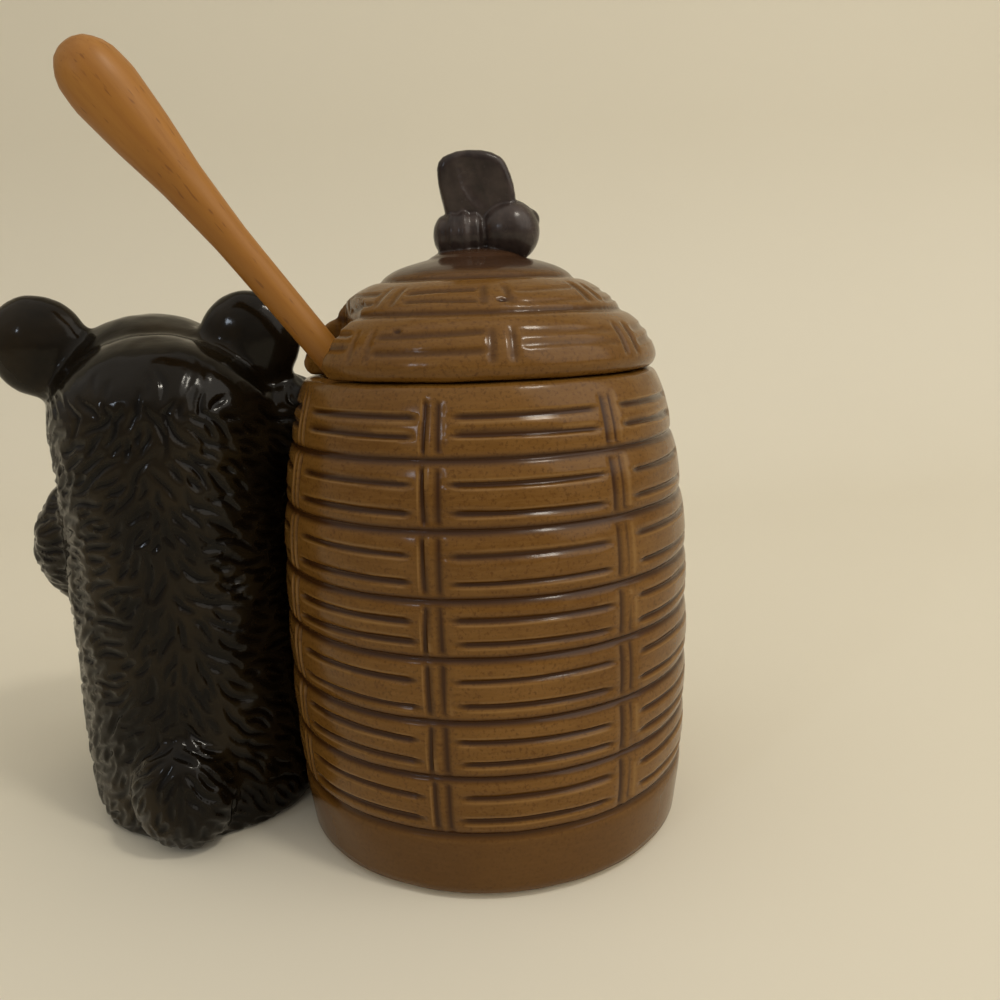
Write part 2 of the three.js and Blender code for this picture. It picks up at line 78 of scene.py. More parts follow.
def hold(piece):
    let_go()
    piece.select_set(True)
    bpy.context.view_layer.objects.active = piece


def settle(piece):
    """Puts the piece's place, turn and scale into its mesh: its object sits at the origin."""
    hold(piece)
    bpy.ops.object.transform_apply(location=True, rotation=True, scale=True)


def apply_modifier(piece, kind, **settings):
    hold(piece)
    modifier = piece.modifiers.new(kind.lower(), kind)
    for key, value in settings.items():
        setattr(modifier, key, value)
    bpy.ops.object.modifier_apply(modifier=modifier.name)


def count(piece):
    piece.data.calc_loop_triangles()
    print(f"{piece.name}: {len(piece.data.loop_triangles)} triangles")


# %% [markdown]
# The camera stands 191 mm in front of the hive's axis, 110 mm above the table, and looks 12
# degrees down. It could be placed by eye, but the coils are level circles round one axis, and
# the ellipses that they make in the picture give the lens, the place and the tilt.

# %% Camera
focal_px, image_px, sensor_mm = 890.48, 1000, 36
yaw, pitch, roll = 0.017919, -0.209390, -0.031054
level_right = Vector((math.cos(yaw), -math.sin(yaw), 0))
ahead = Vector((
    math.sin(yaw) * math.cos(pitch), math.cos(yaw) * math.cos(pitch), math.sin(pitch),
))
level_up = level_right.cross(ahead)
right = level_right * math.cos(roll) + level_up * math.sin(roll)
up = level_up * math.cos(roll) - level_right * math.sin(roll)

let_go()
bpy.ops.object.camera_add(location=(0, -191.15 * MM, 109.59 * MM))
camera = bpy.context.object
camera.rotation_euler = Matrix((right, up, -ahead)).transposed().to_euler()
camera.data.sensor_width = sensor_mm
camera.data.lens = focal_px * sensor_mm / image_px
camera.data.clip_start = 0.01
bpy.context.scene.camera = camera
print(f"lens {camera.data.lens:.2f} mm")

# %% [markdown]
# The hive is a turned form with seven coils that bulge between deep seams, above a plain foot
# band. Rings could be stacked for the coils, but an outline keeps wall and seams in one skin:
# one vertex is extruded from point to point up the outside, over the rim and down the inside.
# Its radius swells to a belly and draws in towards the lid.

# %% The hive's outline
pot_height, foot_radius, foot_height = 97.4, 41, 14.3
belly_radius, belly_height, shoulder_radius = 43.6, 43, 37
pot_wall, coil_count, coil_groove = 4.2, 7, 0.9
coil_shares = np.array([0, 0.143, 0.276, 0.421, 0.551, 0.699, 0.845, 1])
coil_ends = foot_height + (pot_height - foot_height) * coil_shares


def hive_radius(height):
    """The outside of the hive over its coils, in millimetres."""
    height = np.asarray(height, dtype=float)
    above = height > belly_height
    end = np.where(above, shoulder_radius, foot_radius)
    span = np.where(above, pot_height - belly_height, belly_height)
    share = np.clip(abs(height - belly_height) / span, 0, 1)
    return belly_radius - (belly_radius - end) * share**2.7


def coil_inset(share):
    """How far the surface lies under the coil's crest: 0 there, and about 1 in the seam."""
    from_seam = np.minimum(share, 1 - share)
    return 0.65 * abs(2 * share - 1) ** 3 + 0.45 * np.exp(-((from_seam / 0.04) ** 2))


# Rows lie close together where a seam or a cut will be, and further apart between them.
coil_rows = [
    0, 0.02, 0.045, 0.075, 0.11, 0.15, 0.19, 0.22, 0.245, 0.265, 0.285, 0.31, 0.34, 0.39, 0.45,
    0.51, 0.56, 0.6, 0.625, 0.65, 0.675, 0.70, 0.735, 0.78, 0.83, 0.88, 0.92, 0.95, 0.975,
]
outside = [(0, 0), (20, 0), (34, 0), (38.6, 0), (39.5, 0.25), (40.1, 0.8)]
outside += [(float(hive_radius(z)), z) for z in (1.6, 3, 5, 7, 9, 11, 12)]
outside += [(float(hive_radius(z)) - inset, z) for z, inset in ((12.9, 0.1), (13.6, 0.35))]
for low, high in zip(coil_ends, coil_ends[1:]):
    for share in coil_rows:
        z = float(low + (high - low) * share)
        outside.append((float(hive_radius(z) - coil_groove * coil_inset(share)), z))
rim = [(35.7, 97.25), (35.2, 97.38), (34.2, 97.4), (33.2, 97.4), (32.6, 97.25), (32.4, 96.8)]
inside = [(32.4, 95.6)]
throat_height, throat_radius = 93.4, 32.8
for z in np.linspace(throat_height, 10, 22):
    throat = throat_radius + (throat_height - z) * 1.2
    inside.append((min(float(hive_radius(z)) - pot_wall, throat), float(z)))
inside += [(36.5, 7.2), (35.2, 5.8), (33.3, 5.1), (24, 5), (12, 5), (0, 5)]
print(f"outline of {len(outside + rim + inside)} points")

# %% [markdown]
# Spinning the outline makes the pot. A Screw modifier would turn it in equal steps. The operator
# can take short steps over each pair of upright cuts and longer ones over the panel between two
# pairs, so that the mesh is fine where the carving needs it. The first and last points lie on
# the axis, and merging by distance closes the poles.

# %% Outline, spin and close
panel_count = 8


def draw_outline(name, points):
    """A chain of points in the XZ plane, in millimetres, extruded from a single vertex."""
    let_go()
    bpy.ops.mesh.primitive_plane_add(size=MM)
    piece = bpy.context.object
    piece.name = name
    piece.data.name = name
    bpy.ops.object.mode_set(mode="EDIT")
    bpy.ops.mesh.merge(type="CENTER")
    here = (0, 0)
    for point in points:
        move = {"value": ((point[0] - here[0]) * MM, 0, (point[1] - here[1]) * MM)}
        if point is points[0]:
            bpy.ops.transform.translate(**move)
        else:
            bpy.ops.mesh.extrude_region_move(TRANSFORM_OT_translate=move)
        here = point
    return piece


def spin_closed(piece, sectors, axis=(0, 0, 1)):
    """Spins the chain through each (steps, angle) in turn and closes the seam and the poles."""
    bpy.ops.mesh.select_all(action="SELECT")
    for steps, angle in sectors:
        bpy.ops.mesh.spin(steps=steps, angle=angle, center=(0, 0, 0), axis=axis)
    bpy.ops.mesh.select_all(action="SELECT")
    bpy.ops.mesh.remove_doubles(threshold=0.002 * MM)
    bpy.ops.mesh.normals_make_consistent(inside=False)
    bpy.ops.object.mode_set(mode="OBJECT")
    bpy.ops.object.shade_smooth()


def panel_ends(turns):
    """The angles where pairs of upright cuts stand, and the first one again after a full turn."""
    return [math.radians(turn) for turn in (*turns, turns[0] + 360)]


def weave_sectors(radius, fine_steps, panel_steps, pairs):
    """One turn as panels, starting and ending in the middle of a pair of upright cuts."""
    fine_width = 6.2
    zone = fine_width / radius
    half = (fine_steps // 2, zone / 2)
    sectors = [half]
    for start, end in zip(pairs, pairs[1:]):
        sectors.append((panel_steps, end - start - zone))
        sectors.append((fine_steps, zone))
    sectors[-1] = half
    return sectors


pot_pairs = panel_ends((-152, -103.1, -53.4, -6.5, 36, 79, 121.5, 164.5))
hive = draw_outline("hive", outside + rim + inside)
spin_closed(hive, weave_sectors(belly_radius, fine_steps=18, panel_steps=22, pairs=pot_pairs))
hive.rotation_euler.z = pot_pairs[0]
settle(hive)
count(hive)

# %% [markdown]
# The weave is cut with a tool into the soft clay. In each panel of each coil lie two long level
# cuts with tapered ends, and between panels stand two short upright cuts. Boolean cuts would
# leave hard edges and take long, so each cut is a stroke instead: every vertex gets a weight
# from 0 on the surface to 1 at the bottom of a cut, as if painted on by hand.

# %% Shape of a cut
def smooth_cut(distance, half_width):
    """1 in the middle of a cut and 0 past its edge, rounded like a tool's tip."""
    near = np.clip(1 - (distance / half_width) ** 2, 0, None)
    return near**0.8


def taper(share, start, end, fade):
    """1 along a stroke and 0 past its ends, fading over the last part."""
    rising, falling = np.clip((share - start) / fade, 0, 1), np.clip((end - share) / fade, 0, 1)
    return rising**0.7 * falling**0.7


def cylinder_of(piece):
    """Every vertex's radius, angle and height, in millimetres and radians."""
    points = np.empty(3 * len(piece.data.vertices))
    piece.data.vertices.foreach_get("co", points)
    x, y, z = points.reshape(-1, 3).T / MM
    return np.hypot(x, y), np.arctan2(y, x), z


def turn_between(angle, middle):
    return (angle - middle + math.pi) % (2 * math.pi) - math.pi


print("a cut from its middle to its edge:", smooth_cut(np.linspace(0, 1, 5), 1).round(2))

# %% [markdown]
# No two cuts of the real pot are quite alike, so each stroke gets a slow wobble, a width and a
# depth of its own. The numbers come from one seeded hand, and every run makes the same pot.
# Along the lips of a cut the glaze runs thin, so the strokes also tell where the lips are.

# %% Strokes of the weave
hand = random.Random(7)


class Weave:
    """Cuts and their lips on a woven wall, as one number for each vertex."""

    def __init__(self, angle, share, radius, pairs, irregular=1.0):
        """share counts coils upwards: 2.5 is the third one's crest."""
        self.angle, self.share, self.radius = angle, share, radius
        self.pairs, self.irregular = pairs, irregular
        self.cuts, self.lips = np.zeros_like(angle), np.zeros_like(angle)

    def press(self, distance, half_width, strength, where):
        cut = smooth_cut(distance, half_width) * strength
        lip = np.exp(-(((abs(distance) - half_width - 0.1) / 0.2) ** 2)) * strength
        self.cuts = np.maximum(self.cuts, np.where(where, cut, 0))
        self.lips = np.maximum(self.lips, np.where(where, lip, 0))

    def upright_pair(self, coil, index, span, spread, half_width, strength):
        """The two short cuts between two panels, which leave a standing rib."""
        inside_coil = np.clip(self.share - coil, 0, 1)
        in_coil = (self.share > coil) & (self.share < coil + 1)
        for side in (-1, 1):
            lean = hand.uniform(-0.25, 0.25) * self.irregular
            shift = side * spread + hand.uniform(-0.2, 0.2) * self.irregular
            along = turn_between(self.angle, self.pairs[index]) * self.radius
            along = along - shift - lean * (inside_coil - 0.5) * 2
            low, high = (edge + hand.uniform(-0.02, 0.02) for edge in span)
            ends = taper(inside_coil, low, high, 0.1)
            width = half_width * hand.uniform(0.9, 1.1)
            self.press(along, width, ends * hand.uniform(0.85, 1) * strength, in_coil)

    def level_cuts(self, coil, index, levels, coil_size, half_width, strength):
        """The long cuts across one panel."""
        inside_coil = np.clip(self.share - coil, 0, 1)
        in_coil = (self.share > coil) & (self.share < coil + 1)
        half_turn = (self.pairs[index + 1] - self.pairs[index]) / 2
        place = turn_between(self.angle, self.pairs[index] + half_turn) / half_turn
        half_panel = self.radius * half_turn
        end_gap = 2.7
        for level in levels:
            swing = hand.uniform(-0.025, 0.025) * self.irregular
            bow = hand.uniform(-0.015, 0.02) * self.irregular
            line = level + hand.uniform(-0.02, 0.02) * self.irregular
            line = line + swing * place + bow * (1 - place**2)
            start = -1 + (end_gap + hand.uniform(-0.3, 0.8)) / half_panel
            end = 1 - (end_gap + hand.uniform(-0.3, 0.8)) / half_panel
            ends = taper(place, start, end, 0.13)
            width = half_width * hand.uniform(0.88, 1.12) * (0.6 + 0.4 * ends)
            depth = ends * hand.uniform(0.85, 1) * strength
            self.press((inside_coil - line) * coil_size, width, depth, in_coil)

    def pooled(self, seams, outer):
        """The glaze: 1 where it pools in cuts and seams, down to -1 where lips leave it thin."""
        glaze = np.where(self.cuts > 0.03, self.cuts, -self.lips) * outer
        return np.where(seams > 0.08, np.maximum(seams, glaze), glaze)


# %% [markdown]
# A Displace modifier with the weights as its vertex group presses the strokes in along the
# normals. Bump in the glaze would only paint them, and they would be missing from the outline.
# Glaze pools in what is carved, so the weight is also kept as an attribute, which the glaze's
# colour reads later.

# %% Carving
def keep_attribute(piece, name, values):
    attribute = piece.data.attributes.new(name, "FLOAT", "POINT")
    attribute.data.foreach_set("value", np.asarray(values, dtype=np.float32))


def carve(piece, weights, depth):
    """Presses the surface in by depth millimetres where the weight is 1."""
    group = piece.vertex_groups.new(name="cuts")
    for index in np.flatnonzero(weights > 0.002):
        group.add([int(index)], float(weights[index]), "REPLACE")
    apply_modifier(
        piece, "DISPLACE", strength=-depth * MM, mid_level=0,
        vertex_group="cuts", direction="NORMAL",
    )
    piece.vertex_groups.clear()


def uneven(piece, size, amount):
    """A slow, soft unevenness, as from a hand-finished mould."""
    texture = bpy.data.textures.new(piece.name + "_uneven", "CLOUDS")
    texture.noise_scale = size * MM
    apply_modifier(
        piece, "DISPLACE", strength=amount * MM, mid_level=0.5,
        texture=texture, texture_coords="LOCAL",
    )
    bpy.data.textures.remove(texture)


def stand_flat(piece):
    """Presses whatever hangs under the table's height back up to it."""
    for vertex in piece.data.vertices:
        vertex.co.z = max(vertex.co.z, 0)


# %% [markdown]
# The hive has eight panels round and seven coils up. The top coil is plain above its cuts, where
# the lid sits, so its strokes end lower. The seams are already in the outline: here they only
# take their glaze.

# %% Carve the hive
radius, angle, height = cylinder_of(hive)
coil_share = np.interp(height, coil_ends, range(coil_count + 1))
outer_wall = (radius > hive_radius(height) - 2.2) & (height > foot_height) & (height < pot_height)
weave = Weave(angle, coil_share, belly_radius, pot_pairs)
for coil in range(coil_count):
    top = coil == coil_count - 1
    span, levels = ((0.04, 0.82), (0.32, 0.59)) if top else ((0.04, 0.96), (0.26, 0.66))
    coil_size = coil_ends[coil + 1] - coil_ends[coil]
    for index in range(panel_count):
        weave.upright_pair(coil, index, span, spread=1.45, half_width=0.64, strength=1)
        weave.level_cuts(coil, index, levels, coil_size, half_width=0.76, strength=1)
seam_distance = abs(height[:, None] - coil_ends[None, :-1]).min(axis=1)
near_coils = (height > foot_height - 2) & (height < 90) & (radius > hive_radius(height) - 2.4)
seams = 0.95 * np.exp(-((seam_distance / 0.85) ** 2)) * near_coils
carve(hive, weave.cuts * outer_wall, depth=0.75)
uneven(hive, size=16, amount=0.5)
stand_flat(hive)
keep_attribute(hive, "pooled", weave.pooled(seams, outer_wall))
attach(hive, "pot")
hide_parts("hive_pot")
print(f"hive: {(weave.cuts > 0.5).sum()} vertices lie deep in a cut")

# %% [markdown]
# The lid is a dome of two woven coils and a plain cap, over a ring that keeps it centred in the
# mouth. It lies loose on the rim. It is turned like the pot, in equal steps, because its skin is
# made anew after the next cut.

# %% The lid's outline and spin
lid_base, dome_height, lid_radius, lid_groove = 97.7, 23.4, 37.2, 1.2
lid_top = lid_base + dome_height
lid_wall, hollow_radius = 4.6, 28.7
lid_coil_ends = (0, 0.345, 0.59, 0.83)
lid_pairs = panel_ends([7.2 + 45 * step for step in range(panel_count)])


def dome(share, inset=0.0):
    """A point of the dome's outline at a share of its quarter turn, drawn in halfway up."""
    turned = share * math.pi / 2
    pinch = 1.9 * math.sin(2 * turned) ** 2
    radius = (lid_radius - inset) * math.cos(turned) - pinch
    return radius, lid_base + (dome_height - inset) * math.sin(turned)


lid_outline = [(0, lid_top - lid_wall)]
for share in np.linspace(0.96, 0, 16):
    turned = share * math.pi / 2
    height = lid_base + (dome_height - lid_wall) * math.sin(turned)
    lid_outline.append((hollow_radius * math.cos(turned), height))
lid_outline += [(28.7, 96), (28.7, 94), (28.8, 93), (29.3, 92.7), (30.6, 92.7), (31.1, 93)]
lid_outline += [(31.2, 94), (31.2, 96), (31.2, 97.3), (31.6, 97.6), (33.6, 97.6), (35, 97.62)]
lid_outline += [(35.5, 97.8), (35.95, 98.15), (36.35, 98.65), (36.65, 99.3), (36.85, 100)]
for low, high in zip(lid_coil_ends, lid_coil_ends[1:]):
    for share in np.linspace(0, 0.96, 16):
        inset = lid_groove * float(coil_inset(share))
        if (low == 0 and share < 0.5) or (high == lid_coil_ends[-1] and share > 0.5):
            inset = 0
        if low > 0 or share > 0.25:
            lid_outline.append(dome(low + (high - low) * share, inset))
lid_outline += [(9.4, 120.75), (8.4, 121.2), (7, 121.6), (5, 121.95), (2.5, 122.15), (0, 122.2)]
lid = draw_outline("lid_dome", lid_outline)
spin_closed(lid, [(180, 2 * math.pi)])
count(lid)

# %% [markdown]
# The notch lets the dipper stand in the closed pot. Deleting faces would leave the thick wall
# open, so a block with rounded upright edges is cut out with a Boolean modifier. A voxel remesh
# then gives the whole lid one even skin, and smoothing rounds the notch as thick glaze does.

# %% Notch and even skin
notch_turn, notch_width, notch_end = math.radians(200.1), 20, 26.2


def hold_edges(piece, wanted):
    """Goes to edit mode with just those edges selected whose two ends are wanted."""
    hold(piece)
    bpy.ops.object.mode_set(mode="EDIT")
    bpy.ops.mesh.select_all(action="DESELECT")
    bpy.ops.object.mode_set(mode="OBJECT")
    for edge in piece.data.edges:
        edge.select = wanted(*(piece.data.vertices[index].co for index in edge.vertices))
    bpy.ops.object.mode_set(mode="EDIT")


def bevel_edges(piece, wanted, offset, segments):
    hold_edges(piece, wanted)
    bpy.ops.mesh.bevel(offset=offset, segments=segments)
    bpy.ops.object.mode_set(mode="OBJECT")


def voxel_skin(piece, voxel, smoothing):
    """One even skin round all that the piece holds, smoothed a little."""
    apply_modifier(piece, "REMESH", mode="VOXEL", voxel_size=voxel * MM, use_smooth_shade=True)
    if smoothing:
        apply_modifier(piece, "SMOOTH", factor=0.5, iterations=smoothing)


let_go()
bpy.ops.mesh.primitive_cube_add(size=1)
cutter = bpy.context.object
cutter.scale = (20 * MM, notch_width * MM, 60 * MM)
cutter.location = ((notch_end + 10) * MM, 0, (lid_base + 10) * MM)
settle(cutter)
bevel_edges(
    cutter, lambda a, b: max(a.x, b.x) < 30 * MM and abs(a.z - b.z) > MM, 2 * MM, segments=5
)
cutter.rotation_euler.z = notch_turn
settle(cutter)
apply_modifier(lid, "BOOLEAN", operation="DIFFERENCE", object=cutter, solver="EXACT")
bpy.data.objects.remove(cutter)
voxel_skin(lid, voxel=0.48, smoothing=3)
print("notch", notch_width, "mm wide, down to", notch_end, "mm from the axis")

# %% [markdown]
# The lid's weave is shallower than the hive's and less regular, and the tool was pressed harder
# on some panels than on others. Two short dents in the clay are kept. Its coils are followed
# along the dome's quarter turn, since they lie nearly flat near the cap.

# %% Carve the lid
def dome_share(radius, height):
    """The share of the dome's quarter turn that a point lies at."""
    return np.arctan2((height - lid_base) / dome_height, radius / lid_radius) / (math.pi / 2)


radius, angle, height = cylinder_of(lid)
lid_seams = [float(dome_share(*dome(end))) for end in lid_coil_ends]
coil_share = np.interp(dome_share(radius, height), lid_seams, range(4))
on_dome = np.hypot(radius / lid_radius, (height - lid_base) / dome_height)
outer_skin = (on_dome > 0.88) & (coil_share < 2) & (height > lid_base + 0.8)
pressed = (0.6, 0.5, 0.7, 0.6, 0.8, 0.85, 0.4, 0.6)
lid_coil_size = 11
lid_levels, lid_spans = ((0.43, 0.64), (0.22, 0.5)), ((0.22, 0.76), (0.14, 0.7))
weave = Weave(angle, coil_share, lid_radius, lid_pairs, irregular=1.6)
for coil, coil_radius in enumerate((35, 26)):
    weave.radius = coil_radius
    for index in range(panel_count):
        force = pressed[index - 2] * 0.85
        weave.upright_pair(coil, index, lid_spans[coil], 1.9, half_width=1, strength=force)
        force = pressed[index]
        weave.level_cuts(coil, index, lid_levels[coil], lid_coil_size, 0.7, strength=force)
seam_distance = np.minimum(abs(coil_share - 1), abs(coil_share - 2)) * lid_coil_size
seams = 0.85 * np.exp(-((seam_distance / 0.75) ** 2)) * (on_dome > 0.86)
dents = np.zeros_like(radius)
for x, y, z, half_length in ((4.6, -28.6, 111.6, 1.6), (-14.5, -30.4, 106.6, 1.1)):
    off = np.hypot((radius * np.cos(angle) - x) / half_length, (height - z) / 0.5)
    dents = np.maximum(dents, np.clip(1 - off**2, 0, 1) * (radius * np.sin(angle) < y + 4))
carve(lid, np.maximum(weave.cuts * outer_skin, dents), depth=0.5)
uneven(lid, size=14, amount=0.5)
keep_attribute(lid, "pooled", np.maximum(dents, weave.pooled(seams, outer_skin) * 0.8))
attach(lid, "lid")
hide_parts("lid")
count(lid)

# %% [markdown]
# The dipper is turned from one length of beech: a ribbed head that holds the honey, a thin
# handle and a fatter grip. Rings could be scaled on a cylinder, but a lathe follows an outline,
# so this does too. It is spun upright and then tilted into the notch.

# %% Dipper
stick_axis = Vector((-0.57581844, -0.16511328, 0.80073137))
head_depth, handle_reach = 94.44, 73
out, mouth_radius, mouth_height = math.radians(196), 29.68, 99.44
mouth_point = Vector((mouth_radius * math.cos(out), mouth_radius * math.sin(out), mouth_height))
head_half, head_round, disc_count, handle_radius = 14.5, 10, 7, 3.1

dipper_outline = [(0, -head_half)]
disc = 2 * head_half / disc_count
disc_edge = ((0.08, 0.9), (0.14, 0.98), (0.3, 1), (0.46, 0.98), (0.52, 0.9), (0.56, 0), (0.98, 0))
for index in range(disc_count):
    for share, size in disc_edge:
        if index == disc_count - 1 and size == 0:
            continue
        along = -head_half + (index + share) * disc
        full = head_round * math.sqrt(max(1 - (along / head_half) ** 2, 0.05))
        slot = max(full - 3.6, handle_radius * (0.8 if size else 1))
        dipper_outline.append((max(full * size, slot), along))
reach = head_depth + handle_reach
swelling = (
    (0.1, 1), (0.18, 1), (0.5, 1), (0.62, 1.04), (0.75, 1.12), (0.83, 1.42), (0.89, 1.86),
    (0.945, 2.13), (0.975, 1.95), (0.993, 1.25), (1, 0.55),
)
places = np.concatenate([
    np.linspace(0.102, 0.8, 30), np.linspace(0.81, 0.97, 18), (0.98, 0.988, 0.994, 0.998),
])
for share, size in zip(places, np.interp(places, *zip(*swelling))):
    dipper_outline.append((handle_radius * float(size), float(share) * reach))
dipper_outline.append((0, reach))
dipper = draw_outline("wooden_dipper", dipper_outline)
spin_closed(dipper, [(48, 2 * math.pi)])
apply_modifier(dipper, "SMOOTH", factor=0.5, iterations=1)
dipper.rotation_mode = "QUATERNION"
dipper.rotation_quaternion = Vector((0, 0, 1)).rotation_difference(stick_axis)
dipper.location = (mouth_point - stick_axis * head_depth) * MM
settle(dipper)
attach(dipper, "dipper")
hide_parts("dipper")
count(dipper)

# %% [markdown]
# Bee and bear have marks that follow no coil. They could be sculpted by hand, but a script has
# to give the same marks each time, so they are painted on a dense skin, again as weights from 0
# to 1. A stroke follows a path of points, and a tree of the vertices finds those under it.

# %% Strokes on a skin
comb = random.Random(11)


class Skin:
    """A dense mesh that strokes are painted on as weights from 0 to 1."""

    def __init__(self, piece):
        mesh = piece.data
        self.size = len(mesh.vertices)
        self.points = [vertex.co / MM for vertex in mesh.vertices]
        self.normals = [Vector(vertex.normal) for vertex in mesh.vertices]
        self.weights = [0.0] * self.size
        self.tree = kdtree.KDTree(self.size)
        for index, point in enumerate(self.points):
            self.tree.insert(point, index)
        self.tree.balance()

    def paint(self, path, half_width, strength):
        """A stroke along a path of points, thin at its ends."""
        for index, point in enumerate(path):
            share = (index + 0.5) / len(path)
            swell = math.sin(math.pi * share) ** 0.55
            width = half_width * (0.55 + 0.45 * swell)
            for _, near, distance in self.tree.find_range(point, width):
                weight = strength * swell * (1 - (distance / width) ** 2)
                self.weights[near] = max(self.weights[near], weight)

    def walk(self, start, direction, length, step, is_free):
        """Points along the skin from start, until the length is done or another stroke is near."""
        path, point = [], self.points[start].copy()
        normal, heading = self.normals[start], comb.uniform(-0.3, 0.3)
        for count_of_steps in range(int(length / step)):
            way = direction(point, normal)
            way = way - normal * way.dot(normal)
            if way.length < 1e-4:
                break
            swing = heading + 0.35 * math.sin(count_of_steps * step * 0.55 + heading * 20)
            way = Matrix.Rotation(swing, 3, normal) @ way.normalized()
            point = point + way * step
            _, near, _ = self.tree.find(point)
            normal = self.normals[near]
            point = point - normal * (point - self.points[near]).dot(normal)
            if not is_free(point):
                break
            path.append(point)
        return path


# %% [markdown]
# The bee is the lid's knob, modelled by hand: a round head, a ribbed body and two fat wings that
# stand up together. A squeezed ball would make a leaf of a wing, and these have a flat top and
# square corners, so each starts as its outline, filled, extruded and bevelled.

# %% Wings of the bee
bee_height = 125.0
wing_outline = [
    (-5.6, 126.5), (-6.2, 130.7), (-6.9, 133.4), (-7.2, 135.4), (-7.2, 137.6), (-6.8, 138.8),
    (-6, 139.7), (-4.4, 140.5), (-2.1, 141), (0.6, 141), (2.8, 140.8), (5, 140), (6.3, 138.9),
    (7.1, 137.3), (7.9, 135.2), (8.3, 133.3), (8.5, 131.4), (8.4, 126.5), (-5.6, 126.5),
]


def ball(name, centre, size, segments=32, rings=24):
    """A ball squeezed to three sizes, all in millimetres."""
    let_go()
    bpy.ops.mesh.primitive_uv_sphere_add(segments=segments, ring_count=rings, radius=0.5)
    piece = bpy.context.object
    piece.name = name
    piece.scale = Vector(size) * MM
    piece.location = Vector(centre) * MM
    settle(piece)
    return piece


def join(pieces, name):
    let_go()
    for piece in pieces:
        piece.select_set(True)
    bpy.context.view_layer.objects.active = pieces[0]
    bpy.ops.object.join()
    pieces[0].name = name
    pieces[0].data.name = name
    return pieces[0]


def wing(side):
    """A thick rounded plate that leans out to one side of the bee."""
    thickness = 3.6 * MM
    piece = draw_outline("wing", [(x, z - bee_height) for x, z in wing_outline])
    bpy.ops.mesh.select_all(action="SELECT")
    bpy.ops.mesh.remove_doubles(threshold=0.01 * MM)
    bpy.ops.mesh.edge_face_add()
    bpy.ops.mesh.extrude_region_move(TRANSFORM_OT_translate={"value": (0, thickness, 0)})
    bpy.ops.mesh.select_all(action="SELECT")
    bpy.ops.mesh.normals_make_consistent(inside=False)
    bevel_edges(piece, lambda a, b: abs(a.y - b.y) < thickness / 2, 1.5 * MM, segments=5)
    lean = math.radians(9)
    piece.rotation_euler.x = -side * lean
    piece.location = (0, (side * 0.8 - 1.8) * MM, bee_height * MM)
    settle(piece)
    return piece


bee_parts = [wing(-1), wing(1)]
print("each wing has", len(bee_parts[0].data.polygons), "faces")

# %% [markdown]
# The body is spun with five ribs and laid level. One voxel skin over all the parts then leaves
# the soft creases that slip and glaze leave between pressed lumps of clay, where joined parts
# would meet in sharp lines. Each wing has one crease pressed into its outer side.

# %% Body of the bee, and its skin
bee_radius, bee_back, bee_length, rib_count = 5.75, -8.7, 13, 5
bee_outline = [(0, bee_back)]
for step in range(1, 40):
    share = step / 40
    ribbing = 0.5 * (1 + math.cos(rib_count * 2 * math.pi * share)) / 2
    round_share = math.sin(math.pi * share) ** 0.42
    bee_outline.append(((bee_radius - ribbing) * round_share, bee_back + bee_length * share))
bee_outline.append((0, bee_back + bee_length))
bee_body = draw_outline("bee_body", bee_outline)
spin_closed(bee_body, [(40, 2 * math.pi)])
bee_body.rotation_euler.y = math.radians(90)
bee_body.location.z = bee_height * MM
settle(bee_body)
bee_parts.insert(0, bee_body)
bee_parts.append(ball("bee_head_ball", (6.9, 0, 125.5), (12.9, 12.8, 12.8)))
bee_parts.append(ball("bee_brow", (11, 0, 127.6), (4.8, 4.8, 4.8)))
bee_parts.append(ball("bee_seat", (0.5, 0, 120.6), (19, 12, 4)))
bee = join(bee_parts, "bee")
voxel_skin(bee, voxel=0.28, smoothing=4)
bee_skin = Skin(bee)
crease = [(-2.1, 140.2), (-1.5, 137.6), (-0.6, 134.6), (0.5, 132.4), (1.9, 130.5)]
for side in (-1, 1):
    path = []
    for (x, z), (next_x, next_z) in zip(crease, crease[1:]):
        for share in np.linspace(0, 0.9, 6):
            place = Vector((x + (next_x - x) * share, side * 4.2, z + (next_z - z) * share))
            path.append(bee_skin.points[bee_skin.tree.find(place)[1]])
    bee_skin.paint(path, half_width=2, strength=1)
carve(bee, np.array(bee_skin.weights), depth=0.6)
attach(bee, "lid")
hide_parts("bee_abdomen", "bee_head", "bee_wing_back", "bee_wing_front")
count(bee)

# %% [markdown]
# The bear sits against the hive, and on the real pot it is one fused piece of clay with it. It
# could be pulled from one ball, but loose forms are easier to place and to correct. The body is
# a stack of ovals that leans back towards the neck, and a smooth curve runs through its rings.

# %% Measures of the bear
body_x, body_y, half_width, half_depth, back_height = -67, 5, 26, 25, 107
skull = Vector((-72, 11, 86.9))
ear_reach, ear_rise = 28.9, math.radians(38.5)
# For each oval its height, half width, half depth and how far it lies forward, as shares.
body_rings = np.array([
    (0, 0.9, 0.9, 0), (0.02, 0.94, 0.94, 0), (0.07, 0.97, 0.98, 0.01), (0.2, 1, 1.04, 0.04),
    (0.38, 1, 1.06, 0.06), (0.54, 0.98, 1.02, 0.02), (0.7, 0.95, 0.95, -0.06),
    (0.8, 0.93, 0.86, -0.14), (0.88, 0.84, 0.74, -0.24), (0.94, 0.66, 0.54, -0.3),
    (0.98, 0.4, 0.32, -0.33), (1, 0.15, 0.12, -0.34),
])


def curve_point(points, place):
    """A point of the smooth curve through the points: at 0 the first, at 1 the second."""
    index = min(int(place), len(points) - 2)
    share = place - index
    before, here = points[max(index - 1, 0)], points[index]
    there, after = points[index + 1], points[min(index + 2, len(points) - 1)]
    return 0.5 * (
        2 * here + (there - before) * share
        + (2 * before - 5 * here + 4 * there - after) * share**2
        + (3 * here - before - 3 * there + after) * share**3
    )


